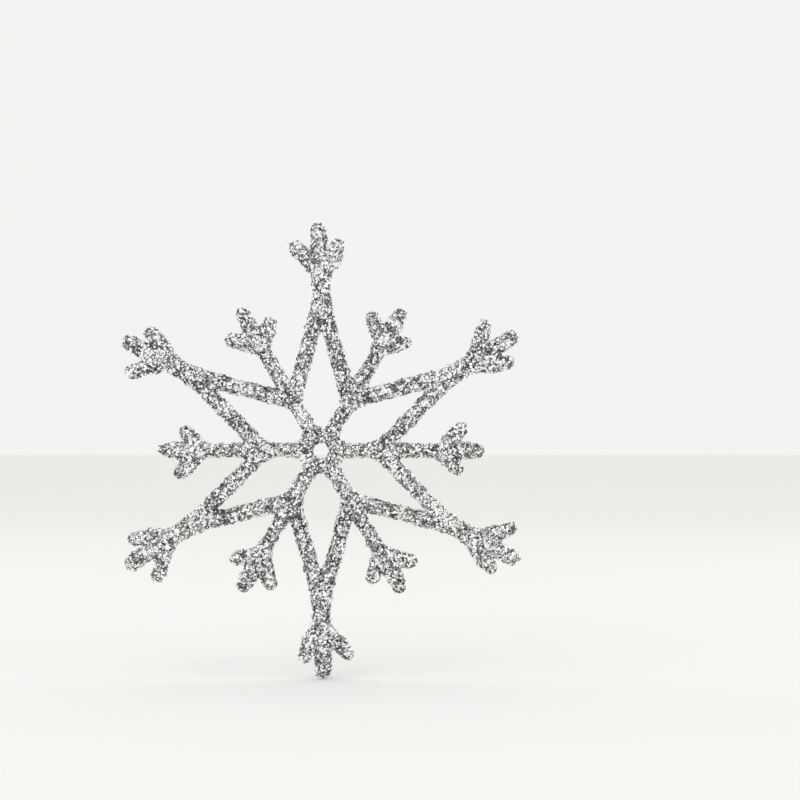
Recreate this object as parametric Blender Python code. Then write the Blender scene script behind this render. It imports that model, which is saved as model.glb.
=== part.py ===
"""A snowflake star of rolled-paper rods, glued around a hexagonal ring of laminated card.

The star stands in the XZ plane with its front towards -Y and its middle at the origin. Arms
are numbered clockwise, as seen from the front: long arm 1 points straight up, and short arm 1
is the next one to its right.
"""
import math

import bmesh
import bpy
from mathutils import Matrix

# Reach of the two kinds of arm, from the middle of the hub to the tip.
LONG_TIP_REACH = 0.0750
SHORT_TIP_REACH = 0.0537

# Hub: a hexagonal ring with its flats between the short arms.
HUB_FLAT_REACH = 0.00745
HUB_HOLE_RADIUS = 0.0028
HUB_THICKNESS = 0.0056
HUB_CORNER_ROUND = 0.0006
HUB_RIM_ROUND = 0.0004
HUB_HOLE_SIDES = 36

# Rods.
SPOKE_RADIUS = 0.00250
SHORT_STEM_RADIUS = 0.00228
SHORT_CROWN_RADIUS = 0.00260
SHORT_TIP_RADIUS = 0.00215
STRUT_RADIUS = 0.00245
LONG_STEM_RADIUS = 0.00265
LONG_TIP_RADIUS = 0.00245
PRONG_RADIUS = 0.00230
PRONG_TIP_RADIUS = 0.00215

# The peg on the inner end of each short arm, and the socket in the hub that takes it.
PEG_RADIUS = 0.00150
PEG_LENGTH = 0.0034
PEG_CHAMFER = 0.0003
SOCKET_DEPTH = 0.0037

# Where the rods meet, as distances from the middle of the hub along an arm.
STRUT_ROOT_REACH = 0.0188
STRUT_MEET_REACH = 0.0505
LONG_STEM_ROOT_REACH = 0.0480
SHORT_STEM_START_REACH = 0.0265
SHORT_STEM_END_REACH = 0.0365
SHORT_CROWN_REACH = 0.0475
LONG_NECK_END_REACH = 0.0600
LONG_FORK_REACH = 0.0575
SHORT_FORK_REACH = 0.0381

# How far the middle prong of a long arm leans to the left, for each metre past its neck.
LONG_LEAN = 0.080

# Side prongs: the length from the fork to the middle of the round tip, and the splay. The
# left prong of every arm is longer than the right one, and opens wider on the long arms.
LONG_LEFT_PRONG_LENGTH = 0.0134
LONG_LEFT_PRONG_SPLAY = math.radians(42.5)
LONG_RIGHT_PRONG_LENGTH = 0.0119
LONG_RIGHT_PRONG_SPLAY = math.radians(28.5)
SHORT_LEFT_PRONG_LENGTH = 0.0117
SHORT_LEFT_PRONG_SPLAY = math.radians(42.0)
SHORT_RIGHT_PRONG_LENGTH = 0.0093
SHORT_RIGHT_PRONG_SPLAY = math.radians(44.0)

PRONG_NECK_SHARE = 0.6

# The film of glue between two glued pieces, and the clearance around a peg.
GLUE_GAP = 0.0003

# Six arms of each kind. The first long arm points up, and the first short arm is 60 degrees up.
ARMS = 6
ARM_STEP = 2 * math.pi / ARMS
HALF_STEP = ARM_STEP / 2
LONG_ARM_ANGLE = math.pi / 2
SHORT_ARM_ANGLE = LONG_ARM_ANGLE - HALF_STEP

# How finely the round pieces are faceted.
SIDES = 16
TIP_RINGS = 4
TIP_FLAT_RADIUS = 0.0004
SHARP_ANGLE = math.radians(35.0)
CUTTER_SPAN = 0.030

HUB_SILVER = (0.60, 0.60, 0.61, 1.0)
ROD_SILVER = (0.66, 0.66, 0.67, 1.0)
PRONG_SILVER = (0.70, 0.70, 0.71, 1.0)
GLITTER_ROUGHNESS = 0.42
GLITTER_METALLIC = 0.70


def clear_scene():
    """Removes whatever the scene starts with."""
    for thing in list(bpy.data.objects):
        bpy.data.objects.remove(thing, do_unlink=True)


def glitter_material(name, colour):
    """A plain stand-in for the glitter coat."""
    material = bpy.data.materials.new(name)
    material.use_nodes = True
    shader = material.node_tree.nodes["Principled BSDF"]
    shader.inputs["Base Color"].default_value = colour
    shader.inputs["Roughness"].default_value = GLITTER_ROUGHNESS
    shader.inputs["Metallic"].default_value = GLITTER_METALLIC
    material.diffuse_color = colour
    return material


def add_ring(shape, reach, radius):
    """One circle of points around local Z, at a distance along it."""
    ring = []
    for side in range(SIDES):
        turn = 2 * math.pi * side / SIDES
        ring.append(shape.verts.new((radius * math.cos(turn), radius * math.sin(turn), reach)))
    return ring


def turned_shape(profile):
    """A closed rod turned around local Z. The profile is (reach, radius), inner end first."""
    shape = bmesh.new()
    rings = [add_ring(shape, reach, radius) for reach, radius in profile]
    for near, far in zip(rings, rings[1:]):
        for side in range(SIDES):
            following = (side + 1) % SIDES
            shape.faces.new((near[side], near[following], far[following], far[side]))
    shape.faces.new(rings[0])
    shape.faces.new(rings[-1])
    bmesh.ops.recalc_face_normals(shape, faces=shape.faces)
    return shape


def round_tip(tip_reach, radius):
    """The last points of a profile whose end is a half ball."""
    middle = tip_reach - radius
    points = []
    for ring in range(TIP_RINGS):
        turn = 0.5 * math.pi * ring / TIP_RINGS
        points.append((middle + radius * math.sin(turn), radius * math.cos(turn)))
    points.append((tip_reach, TIP_FLAT_RADIUS))
    return points


def aim(shape, start_reach, start_angle, direction):
    """Lays a rod in the XZ plane, from a point at a reach and an angle, in a direction."""
    along_z = Matrix.Rotation(0.5 * math.pi - direction, 4, "Y")
    start = (start_reach * math.cos(start_angle), 0.0, start_reach * math.sin(start_angle))
    bmesh.ops.transform(shape, matrix=Matrix.Translation(start) @ along_z, verts=shape.verts)


def lean_left(shape):
    """Bends a rod that still stands on local Z to the left, from a long arm's neck outwards."""
    for point in shape.verts:
        point.co.x -= LONG_LEAN * max(0.0, point.co.z - LONG_NECK_END_REACH)


def cut_plane(shape, point, outward):
    """Keeps what lies behind a plane, and closes the cut."""
    everything = shape.verts[:] + shape.edges[:] + shape.faces[:]
    made = bmesh.ops.bisect_plane(
        shape, geom=everything, plane_co=point, plane_no=outward, clear_outer=True
    )
    edges = [piece for piece in made["geom_cut"] if isinstance(piece, bmesh.types.BMEdge)]
    bmesh.ops.contextual_create(shape, geom=edges)
    bmesh.ops.recalc_face_normals(shape, faces=shape.faces)


def add_object(name, shape, material=None):
    """Turns a shape into an object."""
    mesh = bpy.data.meshes.new(name)
    shape.to_mesh(mesh)
    shape.free()
    thing = bpy.data.objects.new(name, mesh)
    bpy.context.scene.collection.objects.link(thing)
    if material is not None:
        mesh.materials.append(material)
    return thing


def subtract(thing, cutter):
    """Cuts one object with another, and keeps the result as its mesh."""
    cut = thing.modifiers.new("cut", "BOOLEAN")
    cut.operation = "DIFFERENCE"
    cut.solver = "EXACT"
    cut.object = cutter
    graph = bpy.context.evaluated_depsgraph_get()
    result = bpy.data.meshes.new_from_object(thing.evaluated_get(graph))
    before = thing.data
    thing.modifiers.remove(cut)
    thing.data = result
    name = before.name
    bpy.data.meshes.remove(before)
    result.name = name


def shade(thing):
    """Smooth shading, with the rims of flat ends kept sharp."""
    shape = bmesh.new()
    shape.from_mesh(thing.data)
    for face in shape.faces:
        face.smooth = True
    for edge in shape.edges:
        edge.smooth = edge.calc_face_angle(0.0) < SHARP_ANGLE
    shape.to_mesh(thing.data)
    shape.free()


def remove_object(thing):
    """Takes a cutter out again."""
    mesh = thing.data
    bpy.data.objects.remove(thing, do_unlink=True)
    bpy.data.meshes.remove(mesh)


def name_of(kind, arm, side=""):
    """The name of one copy."""
    return f"{kind}_{arm + 1}_{side}" if side else f"{kind}_{arm + 1}"


def copy_around(master, kind, side=""):
    """Six copies of a piece, clockwise around the hub. The master is the first."""
    master.name = name_of(kind, 0, side)
    for arm in range(1, ARMS):
        twin = bpy.data.objects.new(name_of(kind, arm, side), master.data)
        twin.rotation_euler = (0.0, ARM_STEP * arm, 0.0)
        bpy.context.scene.collection.objects.link(twin)


def cylinder_cutter(radius, direction, near, far):
    """A round bar along an arm, from one reach to another."""
    bar = turned_shape([(near, radius), (far, radius)])
    aim(bar, 0.0, 0.0, direction)
    cutter = add_object("cutter", bar)
    cutter.hide_render = True
    cutter.display_type = "WIRE"
    return cutter


def stem_cutter(kind, arm_angle, fork_reach, stem_radius):
    """A bar that follows an arm's own rod through its crown, a film of glue wider."""
    radius = stem_radius + GLUE_GAP
    reaches = (0.5 * fork_reach, LONG_NECK_END_REACH, fork_reach + CUTTER_SPAN)
    bar = turned_shape([(reach, radius) for reach in reaches])
    if kind == "long_prong":
        lean_left(bar)
    aim(bar, 0.0, 0.0, arm_angle)
    return add_object("cutter", bar)


def hub_outline(shape, height):
    """The six corners of the hub, each one at the foot of a short arm."""
    corner_reach = HUB_FLAT_REACH / math.cos(HALF_STEP)
    corners = []
    for corner in range(ARMS):
        turn = ARM_STEP * corner
        corners.append(
            shape.verts.new((corner_reach * math.cos(turn), height, corner_reach * math.sin(turn)))
        )
    return corners


def build_hub(material):
    """The ring: a rounded hexagon with a round hole and six radial sockets."""
    shape = bmesh.new()
    front = hub_outline(shape, -0.5 * HUB_THICKNESS)
    back = hub_outline(shape, 0.5 * HUB_THICKNESS)
    shape.faces.new(front)
    shape.faces.new(back)
    for corner in range(ARMS):
        following = (corner + 1) % ARMS
        shape.faces.new((front[corner], front[following], back[following], back[corner]))
    bmesh.ops.recalc_face_normals(shape, faces=shape.faces)
    upright = [edge for edge in shape.edges if abs(edge.verts[0].co.y - edge.verts[1].co.y) > 1e-6]
    bmesh.ops.bevel(
        shape, geom=upright, offset=HUB_CORNER_ROUND, segments=3, profile=0.5, affect="EDGES"
    )
    rims = [edge for edge in shape.edges if abs(edge.verts[0].co.y - edge.verts[1].co.y) < 1e-6]
    bmesh.ops.bevel(
        shape, geom=rims, offset=HUB_RIM_ROUND, segments=2, profile=0.5, affect="EDGES"
    )
    hub = add_object("hub_ring", shape, material)
    subtract_and_drop(hub, hole_cutter())
    socket_floor = short_shoulder_reach() - SOCKET_DEPTH
    for arm in range(ARMS):
        bar = cylinder_cutter(
            PEG_RADIUS + GLUE_GAP, ARM_STEP * arm, socket_floor, socket_floor + CUTTER_SPAN
        )
        subtract_and_drop(hub, bar)
    shade(hub)


def hole_cutter():
    """A round bar through the middle of the hub, from front to back."""
    shape = bmesh.new()
    bmesh.ops.create_cone(
        shape,
        cap_ends=True,
        segments=HUB_HOLE_SIDES,
        radius1=HUB_HOLE_RADIUS,
        radius2=HUB_HOLE_RADIUS,
        depth=2 * HUB_THICKNESS,
        matrix=Matrix.Rotation(0.5 * math.pi, 4, "X"),
    )
    return add_object("hole", shape)


def subtract_and_drop(thing, cutter):
    """Cuts an object, and takes the cutter out again."""
    subtract(thing, cutter)
    remove_object(cutter)


def short_shoulder_reach():
    """Where a short arm's shoulder sits: a film of glue off the hub's rounded corner."""
    corner_reach = HUB_FLAT_REACH / math.cos(HALF_STEP)
    lost_by_rounding = HUB_CORNER_ROUND * (1 - math.sin(0.5 * (math.pi - ARM_STEP)))
    return corner_reach - lost_by_rounding + GLUE_GAP


def build_short_arms(material):
    """Rods that run from their peg in the hub out to the middle prong of a short arm."""
    shoulder = short_shoulder_reach()
    peg_end = shoulder - PEG_LENGTH
    profile = [
        (peg_end, PEG_RADIUS - PEG_CHAMFER),
        (peg_end + PEG_CHAMFER, PEG_RADIUS),
        (shoulder, PEG_RADIUS),
        (shoulder, SPOKE_RADIUS),
        (SHORT_STEM_START_REACH, SPOKE_RADIUS),
        (0.5 * (SHORT_STEM_START_REACH + SHORT_STEM_END_REACH), SHORT_STEM_RADIUS),
        (SHORT_STEM_END_REACH, SHORT_STEM_RADIUS),
        (SHORT_CROWN_REACH, SHORT_CROWN_RADIUS),
    ]
    rod = turned_shape(profile + round_tip(SHORT_TIP_REACH, SHORT_TIP_RADIUS))
    aim(rod, 0.0, 0.0, SHORT_ARM_ANGLE)
    master = add_object("short_arm", rod, material)
    shade(master)
    copy_around(master, "short_arm")


def build_long_arms(material):
    """Rods that carry on from where two struts meet, out to the middle prong of a long arm."""
    profile = [
        (LONG_STEM_ROOT_REACH + 0.5 * GLUE_GAP, LONG_STEM_RADIUS),
        (LONG_NECK_END_REACH, LONG_STEM_RADIUS),
    ]
    rod = turned_shape(profile + round_tip(LONG_TIP_REACH, LONG_TIP_RADIUS))
    lean_left(rod)
    aim(rod, 0.0, 0.0, LONG_ARM_ANGLE)
    master = add_object("long_arm", rod, material)
    shade(master)
    copy_around(master, "long_arm")


def build_struts(material):
    """Two struts per long arm: coped over a short arm, mitred together, square at the stem."""
    for side, turn in (("left", 1), ("right", -1)):
        root_angle = LONG_ARM_ANGLE + turn * HALF_STEP
        root = (STRUT_ROOT_REACH * math.cos(root_angle), STRUT_ROOT_REACH * math.sin(root_angle))
        direction = math.atan2(STRUT_MEET_REACH - root[1], -root[0])
        length = math.hypot(root[0], STRUT_MEET_REACH - root[1]) + 2 * STRUT_RADIUS
        rod = turned_shape([(0.0, STRUT_RADIUS), (length, STRUT_RADIUS)])
        aim(rod, STRUT_ROOT_REACH, root_angle, direction)
        cut_plane(rod, (-turn * 0.5 * GLUE_GAP, 0.0, 0.0), (turn, 0.0, 0.0))
        cut_plane(rod, (0.0, 0.0, LONG_STEM_ROOT_REACH - 0.5 * GLUE_GAP), (0.0, 0.0, 1.0))
        master = add_object("strut", rod, material)
        spoke = cylinder_cutter(SPOKE_RADIUS + GLUE_GAP, root_angle, 0.0, CUTTER_SPAN)
        subtract_and_drop(master, spoke)
        shade(master)
        copy_around(master, "strut", side)


def build_prongs(material):
    """The two side prongs of every arm, coped over the arm's own rod."""
    prongs = (
        ("long_prong", "left", LONG_LEFT_PRONG_LENGTH, LONG_LEFT_PRONG_SPLAY),
        ("long_prong", "right", LONG_RIGHT_PRONG_LENGTH, -LONG_RIGHT_PRONG_SPLAY),
        ("short_prong", "left", SHORT_LEFT_PRONG_LENGTH, SHORT_LEFT_PRONG_SPLAY),
        ("short_prong", "right", SHORT_RIGHT_PRONG_LENGTH, -SHORT_RIGHT_PRONG_SPLAY),
    )
    arms = {
        "long_prong": (LONG_ARM_ANGLE, LONG_FORK_REACH, LONG_STEM_RADIUS),
        "short_prong": (SHORT_ARM_ANGLE, SHORT_FORK_REACH, SHORT_CROWN_RADIUS),
    }
    for kind, side, length, turn in prongs:
        arm_angle, fork_reach, stem_radius = arms[kind]
        tip = round_tip(length + PRONG_TIP_RADIUS, PRONG_TIP_RADIUS)
        root = [(0.0, PRONG_RADIUS), (PRONG_NECK_SHARE * length, PRONG_RADIUS)]
        rod = turned_shape(root + tip)
        aim(rod, fork_reach, arm_angle, arm_angle + turn)
        master = add_object(kind, rod, material)
        subtract_and_drop(master, stem_cutter(kind, arm_angle, fork_reach, stem_radius))
        shade(master)
        copy_around(master, kind, side)


def build():
    """The whole star."""
    clear_scene()
    hub_material = glitter_material("hub_glitter", HUB_SILVER)
    rod_material = glitter_material("rod_glitter", ROD_SILVER)
    prong_material = glitter_material("prong_glitter", PRONG_SILVER)
    build_hub(hub_material)
    build_short_arms(rod_material)
    build_struts(rod_material)
    build_long_arms(rod_material)
    build_prongs(prong_material)


build()
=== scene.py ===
import math

import bmesh
import bpy
import numpy as np
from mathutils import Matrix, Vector
from mathutils.bvhtree import BVHTree


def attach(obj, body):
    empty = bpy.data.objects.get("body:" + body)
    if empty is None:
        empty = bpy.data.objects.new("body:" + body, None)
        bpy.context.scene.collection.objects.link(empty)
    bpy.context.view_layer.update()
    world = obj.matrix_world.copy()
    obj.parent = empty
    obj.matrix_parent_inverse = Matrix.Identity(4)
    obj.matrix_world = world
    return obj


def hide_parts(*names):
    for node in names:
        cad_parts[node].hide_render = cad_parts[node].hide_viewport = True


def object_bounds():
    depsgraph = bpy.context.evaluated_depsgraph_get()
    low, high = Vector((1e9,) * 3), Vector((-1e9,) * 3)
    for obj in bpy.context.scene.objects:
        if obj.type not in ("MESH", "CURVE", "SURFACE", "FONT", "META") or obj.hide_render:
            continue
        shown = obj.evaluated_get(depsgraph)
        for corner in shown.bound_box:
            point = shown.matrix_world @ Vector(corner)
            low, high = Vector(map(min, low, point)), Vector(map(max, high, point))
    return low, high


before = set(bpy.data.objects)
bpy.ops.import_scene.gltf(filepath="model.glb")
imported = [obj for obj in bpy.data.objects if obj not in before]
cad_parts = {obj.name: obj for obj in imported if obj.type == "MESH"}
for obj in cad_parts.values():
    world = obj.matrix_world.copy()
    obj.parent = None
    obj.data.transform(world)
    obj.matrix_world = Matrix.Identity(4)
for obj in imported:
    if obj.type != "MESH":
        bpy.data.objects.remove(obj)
cadLow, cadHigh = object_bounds()
nodeNames = sorted(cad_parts)
print("frame:", len(nodeNames), "nodes")

mm = 0.001


def deselectAll():
    for thing in bpy.context.selected_objects:
        thing.select_set(False)


def activate(thing):
    deselectAll()
    thing.select_set(True)
    bpy.context.view_layer.objects.active = thing


def applyModifiers(thing):
    activate(thing)
    for modifier in list(thing.modifiers):
        bpy.ops.object.modifier_apply(modifier=modifier.name)


def addObject(name, mesh):
    thing = bpy.data.objects.new(name, mesh)
    bpy.context.scene.collection.objects.link(thing)
    return thing


class Wire:
    # a node's output, which adds Math nodes when it is used in a sum
    def __init__(self, tree, socket):
        self.tree, self.socket = tree, socket

    def output(self, name):
        # another output of the same node
        return Wire(self.tree, self.socket.node.outputs[name])

    def maths(self, operation, *values):
        return self.tree.add("ShaderNodeMath", {"operation": operation}, dict(enumerate(values)))

    def __add__(self, other):
        return self.maths("ADD", self, other)

    def __sub__(self, other):
        return self.maths("SUBTRACT", self, other)

    def __rsub__(self, other):
        return self.maths("SUBTRACT", other, self)

    def __mul__(self, other):
        return self.maths("MULTIPLY", self, other)

    def __gt__(self, other):
        return self.maths("GREATER_THAN", self, other)

    __radd__, __rmul__ = __add__, __mul__


class Tree:
    # a node tree, emptied and then built node by node
    def __init__(self, tree):
        self.tree = tree
        self.tree.nodes.clear()

    def add(self, kind, settings=None, sockets=None, output=0):
        node = self.tree.nodes.new(kind)
        for key, value in (settings or {}).items():
            if key == "stops":
                setStops(node, value)
            else:
                setattr(node, key, value)
        for key, value in (sockets or {}).items():
            if isinstance(value, Wire):
                self.tree.links.new(value.socket, node.inputs[key])
            else:
                node.inputs[key].default_value = value
        return Wire(self, node.outputs[output]) if node.outputs else node


def setStops(node, stops):
    ramp = node.color_ramp
    while len(ramp.elements) > 1:
        ramp.elements.remove(ramp.elements[-1])
    for i, (place, tone) in enumerate(stops):
        stop = ramp.elements[0] if i == 0 else ramp.elements.new(place)
        stop.position = place
        stop.color = (tone[0], tone[1], tone[2], 1.0)


# The coat is one skin of glue over all the rods, split up again by rod.
# Where the rods run, as (along the arm, across it to the left, bare radius), in millimetres:
rods = {
    "shortArm": [
        (7.0, 0, 2.22), (20, 0, 2.2), (30, 0, 2.08), (40, 0, 2.25),
        (48.5, 0, 2.6), (51.6, -0.1, 2.05),
    ],
    "shortLeft": [(40.8, 1.6, 2.2), (43.8, 4.4, 2.5), (46.4, 7.3, 2.05)],
    "shortRight": [(40.6, -1.6, 2.2), (42.7, -4.0, 2.35), (44.7, -6.1, 2.05)],
    "longArm": [(49.5, 0, 2.4), (54, 0, 2.85), (60, 0.1, 2.7), (66, 0.7, 2.4), (72.4, 0.9, 2.5)],
    "longLeft": [(59.4, 1.4, 2.3), (63.3, 4.9, 2.4), (67.1, 8.7, 2.05)],
    "longRight": [(59.4, -1.4, 2.3), (62.7, -3.8, 2.35), (67.9, -5.5, 2.0)],
    "strutRoot": 18.8,          # along the short arm beside it
    "strutMeet": 50.5,          # along the long arm
    "strutInset": 1.2,          # left off both ends
    "strutRadius": 2.35,
    "hubMiddle": 4.95,          # from the star's middle to the middle of the ring's sides
    "hubRadius": 2.22,
}

coat = {
    "closeGap": 0.26 * mm,      # swells each solid so that the glue joints close
    "firstVoxel": 0.55 * mm,
    "voxel": 0.40 * mm,
    "web": 0.70 * mm,           # how far the glue draws up into a corner
    "rounds": 7,                # steps in which the skin settles on the rods
    "lastRounds": 3,            # the same, after the finer remesh
    "pull": 0.8,                # the share of its distance that a place moves in one round
    "longestPull": 1.0 * mm,
    "mergeWithin": 0.01 * mm,
    "lumpSize": 5.0 * mm,
    "lumpDepth": 1.0 * mm,
    "grainSize": 1.6 * mm,
    "grainDepth": 0.75 * mm,
}


def onArm(angle, along, across=0.0):
    # a point in the plane of the star, from distances along and across an arm
    x = along * math.cos(angle) - across * math.sin(angle)
    z = along * math.sin(angle) + across * math.cos(angle)
    return (x * mm, z * mm)


def planRods():
    # every rod as its points and radii; the hub is a ring of its own
    plans = []
    step = math.radians(60)
    corner = rods["hubMiddle"] / math.cos(step / 2)
    ring = [onArm(step * turn, corner) for turn in range(7)]
    plans.append((ring, [rods["hubRadius"] * mm] * 7))
    for arm in range(6):
        longAngle = math.radians(90) - step * arm
        shortAngle = longAngle - step / 2
        for angle, length in ((shortAngle, "short"), (longAngle, "long")):
            for kind in ("Arm", "Left", "Right"):
                points = rods[length + kind]
                places = [onArm(angle, along, across) for along, across, _ in points]
                plans.append((places, [radius * mm for _, _, radius in points]))
        for side in (1, -1):
            root = Vector(onArm(longAngle + side * step / 2, rods["strutRoot"]))
            meet = Vector(onArm(longAngle, rods["strutMeet"]))
            inset = (meet - root).normalized() * rods["strutInset"] * mm
            plans.append(([root + inset, meet - inset], [rods["strutRadius"] * mm] * 2))
    return plans


def rodDistance(places, points, radii):
    # how far each place is from one rod's skin, and which way is out
    best = np.full(len(places), 1.0)      # a metre, farther off than any rod
    outward = np.zeros_like(places)
    for (start, end), (first, last) in zip(zip(points, points[1:]), zip(radii, radii[1:])):
        a = np.array((start[0], 0.0, start[1]))
        run = np.array((end[0], 0.0, end[1])) - a
        share = np.clip((places - a) @ run / (run @ run), 0.0, 1.0)
        away = places - a - share[:, None] * run
        length = np.maximum(np.linalg.norm(away, axis=1), 1e-9)
        distance = length - (first + (last - first) * share)
        nearer = distance < best
        best[nearer] = distance[nearer]
        outward[nearer] = away[nearer] / length[nearer, None]
    return best, outward


def settle(thing, plans, rounds):
    # draws the skin on to the rods, with a web of glue wherever two of them come close
    mesh = thing.data
    places = np.empty(len(mesh.vertices) * 3)
    mesh.vertices.foreach_get("co", places)
    places = places.reshape(-1, 3)
    web, longest = coat["web"], coat["longestPull"]
    nearest, farthest = -4 * mm, 20 * mm     # past these a rod's weight no longer changes
    for _ in range(rounds):
        total = np.zeros(len(places))
        outward = np.zeros_like(places)
        for points, radii in plans:
            distance, away = rodDistance(places, points, radii)
            weight = np.exp(-np.clip(distance, nearest, farthest) / web)
            total += weight
            outward += weight[:, None] * away
        height = -web * np.log(np.maximum(total, 1e-30))
        outward /= np.maximum(np.linalg.norm(outward, axis=1), 1e-12)[:, None]
        places -= coat["pull"] * np.clip(height, -longest, longest)[:, None] * outward
    mesh.vertices.foreach_set("co", places.ravel())
    mesh.update()


def joinSolids():
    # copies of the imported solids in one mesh, and which node each face came from
    vertices, faces, owners = [], [], []
    for index, name in enumerate(nodeNames):
        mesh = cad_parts[name].data
        start = len(vertices)
        vertices += [vertex.co.copy() for vertex in mesh.vertices]
        for polygon in mesh.polygons:
            faces.append([start + corner for corner in polygon.vertices])
            owners.append(index)
    return vertices, faces, owners


def addLumps(thing, name, size, depth):
    texture = bpy.data.textures.new(name, "CLOUDS")
    texture.noise_scale = size
    texture.noise_depth = 1
    lumps = thing.modifiers.new(name, "DISPLACE")
    lumps.texture = texture
    lumps.texture_coords = "LOCAL"
    lumps.mid_level = 0.5
    lumps.strength = depth


def addRemesh(thing, size):
    remesh = thing.modifiers.new("remesh", "REMESH")
    remesh.mode = "VOXEL"
    remesh.voxel_size = size


def makeCoat(vertices, faces):
    mesh = bpy.data.meshes.new("coat")
    mesh.from_pydata(vertices, [], faces)
    thing = addObject("coat", mesh)
    activate(thing)
    bpy.ops.object.mode_set(mode="EDIT")
    bpy.ops.mesh.select_all(action="SELECT")
    bpy.ops.mesh.remove_doubles(threshold=coat["mergeWithin"])
    bpy.ops.object.mode_set(mode="OBJECT")
    swell = thing.modifiers.new("closeGap", "DISPLACE")
    swell.strength = coat["closeGap"]
    swell.mid_level = 0.0
    addRemesh(thing, coat["firstVoxel"])
    applyModifiers(thing)
    plans = planRods()
    settle(thing, plans, coat["rounds"])
    addRemesh(thing, coat["voxel"])
    applyModifiers(thing)
    settle(thing, plans, coat["lastRounds"])
    addLumps(thing, "lumps", coat["lumpSize"], coat["lumpDepth"])
    addLumps(thing, "grain", coat["grainSize"], coat["grainDepth"])
    applyModifiers(thing)
    return thing


def ownersOf(thing, tree, solidOwners):
    # each coat face belongs to the rod whose solid is nearest
    found = []
    for polygon in thing.data.polygons:
        nearest = tree.find_nearest(polygon.center)
        found.append(solidOwners[nearest[2]])
    return found


def splitCoat(thing, owners):
    # one closed skin per node; its cut ends are closed inside the joint
    parts = {index: [] for index in range(len(nodeNames))}
    for polygon, owner in zip(thing.data.polygons, owners):
        parts[owner].append(polygon.vertices[:])
    points = [vertex.co.copy() for vertex in thing.data.vertices]
    skins = {}
    for index, polygons in parts.items():
        name = nodeNames[index]
        used = sorted({corner for polygon in polygons for corner in polygon})
        place = {corner: i for i, corner in enumerate(used)}
        mesh = bpy.data.meshes.new("skin_" + name)
        mesh.from_pydata(
            [points[corner] for corner in used],
            [],
            [[place[corner] for corner in polygon] for polygon in polygons],
        )
        closeEnds(mesh)
        skins[name] = addObject("skin_" + name, mesh)
    return skins


def cutRings(shape):
    # the cut edges as closed rings, in the order that makes a closing face point outwards
    after = {}
    for edge in shape.edges:
        if edge.is_boundary:
            corner = edge.link_loops[0]
            after.setdefault(corner.link_loop_next.vert, []).append(corner.vert)
    rings = []
    while after:
        path = [next(iter(after))]
        while path[-1] in after:
            ends = after[path[-1]]
            vertex = ends.pop()
            if not ends:
                del after[path[-1]]
            if vertex in path:
                start = path.index(vertex)
                rings.append(path[start:])
                del path[start + 1:]
            else:
                path.append(vertex)
    return rings


def closeEnds(mesh):
    # fans a face from each cut edge to the middle of its ring, and marks what carries flakes
    shape = bmesh.new()
    shape.from_mesh(mesh)
    outside = shape.faces.layers.float.new("outside")
    for face in shape.faces:
        face[outside] = 1.0
        face.smooth = True
    for edge in shape.edges:
        edge.smooth = not edge.is_boundary
    for ring in cutRings(shape):
        middle = shape.verts.new(sum((vertex.co for vertex in ring), Vector()) / len(ring))
        for vertex, following in zip(ring, ring[1:] + ring[:1]):
            closing = shape.faces.new((vertex, following, middle))
            closing[outside] = 0.0
    if any(edge.is_boundary for edge in shape.edges):
        print("open skin:", mesh.name)
    shape.normal_update()
    if shape.calc_volume(signed=True) <= 0:
        print("skin turned inwards:", mesh.name)
    shape.to_mesh(mesh)
    shape.free()


vertices, faces, solidOwners = joinSolids()
solidTree = BVHTree.FromPolygons(vertices, faces)
coatObject = makeCoat(vertices, faces)
print("coat:", len(coatObject.data.polygons), "faces")
skins = splitCoat(coatObject, ownersOf(coatObject, solidTree, solidOwners))
bpy.data.objects.remove(coatObject)
print("skins:", len(skins))


# The flakes are thin hexagons, scattered over each skin.
flake = {
    "sides": 6,
    "radius": 0.45 * mm,
    "thickness": 0.06 * mm,
    "spacing": 0.57 * mm,       # the least distance between two flakes
    "density": 1.1e7,           # flakes tried for each square metre
    "smallest": 0.62,
    "largest": 1.15,
    "tilt": 0.60,               # radians, either way
    "patchSize": 270.0,         # light and dark flakes gather in patches about 4 mm across, painted light and shade in patches
    "patchDepth": 1.25,
    "darkScale": 0.70,          # the darkest flakes are the smallest, so they sit in the gaps as painted shade
    "lightScale": 1.25,
    "sink": 0.05 * mm,
    "stand": 0.36 * mm,         # how far the highest ones stand off the skin
    "firstSeed": 100,
    "seedStep": 17,
    "liftSeed": 11,
    "turnSeed": 23,
    "sizeSeed": 37,
    "toneSeed": 53,
}


def makeFlake():
    # the one plate that every flake is a copy of
    deselectAll()
    bpy.ops.mesh.primitive_cylinder_add(
        vertices=flake["sides"],
        radius=flake["radius"],
        depth=flake["thickness"],
        end_fill_type="NGON",
    )
    plate = bpy.context.object
    plate.name = "flake"
    return plate


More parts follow.
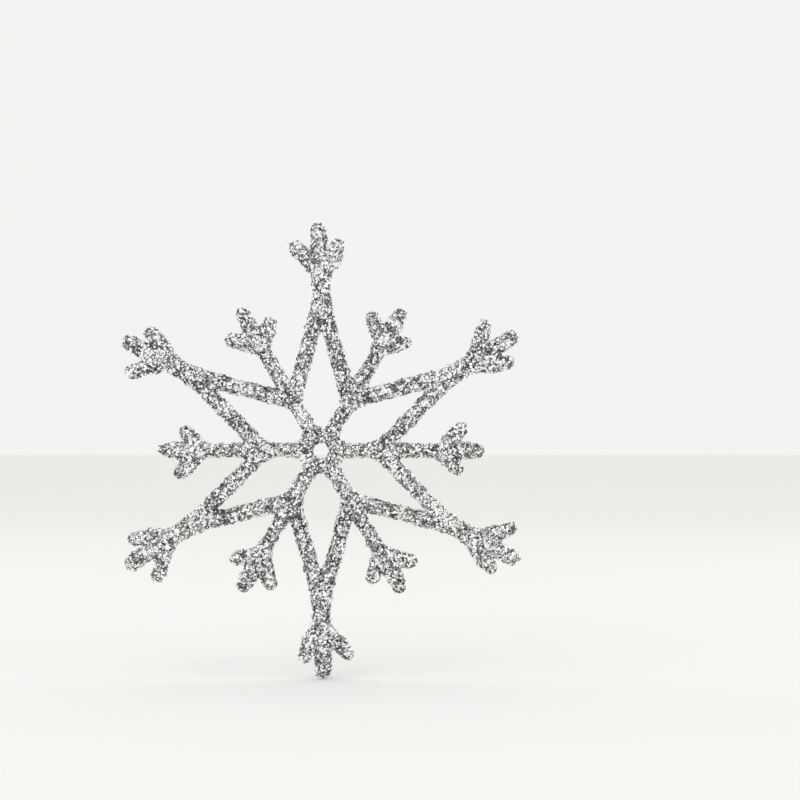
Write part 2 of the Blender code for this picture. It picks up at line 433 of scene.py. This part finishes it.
def scatterTree(plate):
    group = bpy.data.node_groups.new("scatter", "GeometryNodeTree")
    group.interface.new_socket("Geometry", in_out="INPUT", socket_type="NodeSocketGeometry")
    group.interface.new_socket("Seed", in_out="INPUT", socket_type="NodeSocketInt")
    group.interface.new_socket("Geometry", in_out="OUTPUT", socket_type="NodeSocketGeometry")
    tree = Tree(group)
    skin = tree.add("NodeGroupInput", {}, {}, "Geometry")
    seed = skin.output("Seed")

    def randomValue(kind, low, high, seedShift):
        # the node has sockets of its own for each kind of value
        lowEnd, highEnd, drawn = {"FLOAT": (2, 3, 1), "FLOAT_VECTOR": (0, 1, 0)}[kind]
        sockets = {lowEnd: low, highEnd: high, "Seed": seed + seedShift}
        return tree.add("FunctionNodeRandomValue", {"data_type": kind}, sockets, drawn)

    outside = tree.add(
        "GeometryNodeInputNamedAttribute", {"data_type": "FLOAT"}, {"Name": "outside"}
    )
    spread = tree.add(
        "GeometryNodeDistributePointsOnFaces",
        {"distribute_method": "POISSON"},
        {
            "Mesh": skin,
            "Selection": outside > 0.5,
            "Distance Min": flake["spacing"],
            "Density Max": flake["density"],
            "Seed": seed,
        },
    )
    height = randomValue("FLOAT", -flake["sink"], flake["stand"], flake["liftSeed"])
    lift = tree.add(
        "ShaderNodeVectorMath",
        {"operation": "SCALE"},
        {0: spread.output("Normal"), "Scale": height},
    )
    lifted = tree.add("GeometryNodeSetPosition", {}, {"Geometry": spread, "Offset": lift})
    tilt = flake["tilt"]
    leastTurn, mostTurn = (-tilt, -tilt, 0.0), (tilt, tilt, math.pi)
    turn = randomValue("FLOAT_VECTOR", leastTurn, mostTurn, flake["turnSeed"])
    tilted = tree.add(
        "FunctionNodeRotateRotation",
        {"rotation_space": "LOCAL"},
        {"Rotation": spread.output("Rotation"), "Rotate By": turn},
    )
    place = tree.add("GeometryNodeInputPosition")
    # a flake's tone is painted light and shade: a random number, pushed lighter or darker in
    # patches
    patches = tree.add("ShaderNodeTexNoise", {}, {"Vector": place, "Scale": flake["patchSize"]})
    shift = (patches - 0.5) * flake["patchDepth"]
    pair = randomValue("FLOAT_VECTOR", (0.0, 0.0, 0.0), (1.0, 1.0, 1.0), flake["toneSeed"])
    first = tree.add("ShaderNodeSeparateXYZ", {}, {0: pair}, "X")
    second = first.output("Y")
    tone = tree.add("ShaderNodeClamp", {}, {0: first + shift})
    scale = randomValue("FLOAT", flake["smallest"], flake["largest"], flake["sizeSeed"])
    toneScale = flake["darkScale"] + tone * (flake["lightScale"] - flake["darkScale"])
    plateShape = tree.add(
        "GeometryNodeObjectInfo", {}, {"Object": plate, "As Instance": True}, "Geometry"
    )
    copies = tree.add(
        "GeometryNodeInstanceOnPoints",
        {},
        {
            "Points": lifted,
            "Instance": plateShape,
            "Rotation": tilted,
            "Scale": scale * toneScale,
        },
    )
    toned = tree.add(
        "GeometryNodeStoreNamedAttribute",
        {"data_type": "FLOAT_VECTOR", "domain": "INSTANCE"},
        {
            "Geometry": copies,
            "Name": "tone",
            "Value": tree.add("ShaderNodeCombineXYZ", {}, {0: tone, 1: second}),
        },
    )
    real = tree.add("GeometryNodeRealizeInstances", {}, {"Geometry": toned})
    tree.add("NodeGroupOutput", {}, {"Geometry": real})
    return group


def scatterFlakes(name, skin, seed, group):
    glitter = addObject("glitter_" + name, skin.data.copy())
    scatter = glitter.modifiers.new("scatter", "NODES")
    scatter.node_group = group
    scatter["Socket_1"] = seed      # the group's Seed
    applyModifiers(glitter)
    return glitter


plate = makeFlake()
group = scatterTree(plate)
plateFaces, plateCorners = len(plate.data.polygons), len(plate.data.vertices)
glitter = {}
for index, name in enumerate(nodeNames):
    seed = flake["firstSeed"] + flake["seedStep"] * index
    glitter[name] = scatterFlakes(name, skins[name], seed, group)
bpy.data.objects.remove(plate)
print("flakes:", sum(len(thing.data.polygons) for thing in glitter.values()) // plateFaces)


chart = {
    "name": "OFBake",           # the name of the flakes' chart
    "margin": 0.02,
    "topReach": 0.006,          # from the middle of a flake's patch to the corners of its top
    "bottomReach": 0.003,
}


def addToneMap(mesh):
    # across the chart runs a flake's tone, which paints light and shade on the flake, and up it
    # a second number, which sets its gloss
    count = len(mesh.vertices)
    tones = np.empty(count * 3, np.float32)
    mesh.attributes["tone"].data.foreach_get("vector", tones)
    tones = tones.reshape(-1, 3)[:, :2]
    # a plate's corners come in pairs, one at the bottom and one at the top
    corner = np.arange(count) % plateCorners
    turn = (corner // 2) * (2 * math.pi / flake["sides"])
    reach = np.where(corner % 2, chart["topReach"], chart["bottomReach"])
    patch = np.stack((np.cos(turn) * reach, np.sin(turn) * reach), axis=1)
    spots = chart["margin"] + (1 - 2 * chart["margin"]) * tones + patch
    ends = np.empty(len(mesh.loops), np.int32)
    mesh.loops.foreach_get("vertex_index", ends)
    for layer in list(mesh.uv_layers):
        mesh.uv_layers.remove(layer)
    layer = mesh.uv_layers.new(name=chart["name"])
    layer.data.foreach_set("uv", spots[ends].astype(np.float32).ravel())
    for spare in ("tone", "outside", "id"):
        if spare in mesh.attributes:
            mesh.attributes.remove(mesh.attributes[spare])


# The flake tones, from near black to white, are painted reflection and shade: one silver glitter
# in lit and shaded copies, standing in for how each tilted flake catches the light.
glitterLook = {
    "tones": [
        (0.00, (0.02, 0.02, 0.02)),
        (0.09, (0.09, 0.09, 0.09)),
        (0.20, (0.32, 0.32, 0.32)),
        (0.33, (0.64, 0.64, 0.64)),
        (0.46, (0.92, 0.92, 0.92)),
        (0.60, (1.00, 1.00, 1.00)),
    ],
    "metallic": 0.75,
    "roughness": (0.20, 0.36),
}

# The glue is near black, a painted shade that makes the gaps between the flakes read as shadow;
# its lighter grains are dust.
glueLook = {
    "dark": (0.08, 0.08, 0.08),
    "light": (0.55, 0.55, 0.54),
    "paintedShadeShare": 0.6,           # the share of the grains that keep the dark painted shade
    "dust": 2600.0,             # grains of dust in a metre
    "roughness": 0.30,
    "metallic": 0.6,
}


def newMaterial(name):
    # a material with an empty tree, for addSurface to finish
    material = bpy.data.materials.new(name)
    material.use_nodes = True
    return material, Tree(material.node_tree)


def addSurface(tree, sockets):
    shader = tree.add("ShaderNodeBsdfPrincipled", {}, sockets)
    tree.add("ShaderNodeOutputMaterial", {}, {"Surface": shader})


def glitterWithPaintedLightAndShade():
    material, tree = newMaterial("silver_glitter_painted_light_and_shade")
    place = tree.add("ShaderNodeUVMap", {"uv_map": chart["name"]})
    tone = tree.add("ShaderNodeSeparateXYZ", {}, {0: place}, "X")
    second = tone.output("Y")
    # the ramp paints reflection and shade on the flakes, from near black to white
    colour = tree.add("ShaderNodeValToRGB", {"stops": glitterLook["tones"]}, {0: tone})
    low, high = glitterLook["roughness"]
    rough = low + second * (high - low)
    metallic = glitterLook["metallic"]
    addSurface(tree, {"Base Color": colour, "Roughness": rough, "Metallic": metallic})
    return material


def glueWithPaintedShade():
    material, tree = newMaterial("glitter_glue_painted_shade")
    place = tree.add("ShaderNodeTexCoord", {}, {}, "Object")
    dust = tree.add(
        "ShaderNodeTexVoronoi", {}, {"Vector": place, "Scale": glueLook["dust"]}, "Color"
    )
    tone = tree.add("ShaderNodeSeparateXYZ", {}, {0: dust}, "X")
    # the dark stop paints shade into the gaps between the flakes
    dark, light = glueLook["dark"], glueLook["light"]
    stops = [(0.0, dark), (glueLook["paintedShadeShare"], dark), (1.0, light)]
    colour = tree.add("ShaderNodeValToRGB", {"stops": stops}, {0: tone})
    rough, metallic = glueLook["roughness"], glueLook["metallic"]
    addSurface(tree, {"Base Color": colour, "Roughness": rough, "Metallic": metallic})
    return material


glitterFinish = glitterWithPaintedLightAndShade()
glueFinish = glueWithPaintedShade()
for name in nodeNames:
    skin, flakes = skins[name], glitter[name]
    addToneMap(flakes.data)
    skin.data.materials.append(glueFinish)
    flakes.data.materials.clear()       # the scatter leaves an empty slot
    flakes.data.materials.append(glitterFinish)
    for piece in (skin, flakes):
        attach(piece, "root")
    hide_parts(name)
print("finishes on")


studio = {
    "floorSide": 6.0,
    "floorDrop": 0.4 * mm,      # leaves room for the flakes under the lowest prong
    "floorTone": (0.92, 0.92, 0.915),
    "floorRoughness": 0.8,
    "worldTone": (1.0, 0.993, 0.975),
    "worldStrength": 0.90,
    "lights": {                 # place, side and power
        "key": ((-0.35, -0.75, 0.60), 0.35, 0.9),
        "fill": ((0.75, -0.55, 0.25), 0.5, 0.4),
        "edgeLeft": ((-0.65, 0.45, 0.35), 0.4, 0.5),
        "edgeRight": ((0.65, 0.45, 0.35), 0.4, 0.5),
    },
    "lens": 100.0,
    "sensor": 36.0,
    "cameraBack": 0.734,
    "cameraRight": 0.0260,
    "cameraUp": 0.0167,
}

deselectAll()
floorLevel = cadLow.z - studio["floorDrop"]
bpy.ops.mesh.primitive_plane_add(size=studio["floorSide"], location=(0, 0, floorLevel))
floor = bpy.context.object
floor.name = "floor"
floorFinish, floorTree = newMaterial("pale_floor")
floorTone, floorRoughness = (*studio["floorTone"], 1.0), studio["floorRoughness"]
addSurface(floorTree, {"Base Color": floorTone, "Roughness": floorRoughness})
floor.data.materials.append(floorFinish)

bpy.context.scene.view_settings.view_transform = "Standard"
world = bpy.data.worlds.new("studio")
bpy.context.scene.world = world
world.use_nodes = True
sky = world.node_tree.nodes["Background"]
sky.inputs["Color"].default_value = (*studio["worldTone"], 1.0)
sky.inputs["Strength"].default_value = studio["worldStrength"]


def addSoftLight(name, place, side, power):
    # a square light that faces the middle of the star
    light = bpy.data.lights.new(name, "AREA")
    light.shape = "SQUARE"
    light.size = side
    light.energy = power
    lamp = bpy.data.objects.new(name, light)
    lamp.location = place
    lamp.rotation_euler = (-Vector(place)).to_track_quat("-Z", "Y").to_euler()
    bpy.context.scene.collection.objects.link(lamp)


for name, (place, side, power) in studio["lights"].items():
    addSoftLight(name, place, side, power)

lens = bpy.data.cameras.new("camera")
lens.lens = studio["lens"]
lens.sensor_width = studio["sensor"]
camera = bpy.data.objects.new("camera", lens)
camera.location = (studio["cameraRight"], -studio["cameraBack"], studio["cameraUp"])
camera.rotation_euler = (math.pi / 2, 0.0, 0.0)
bpy.context.scene.collection.objects.link(camera)
bpy.context.scene.camera = camera
print("studio: floor,", len(studio["lights"]), "lights, camera")
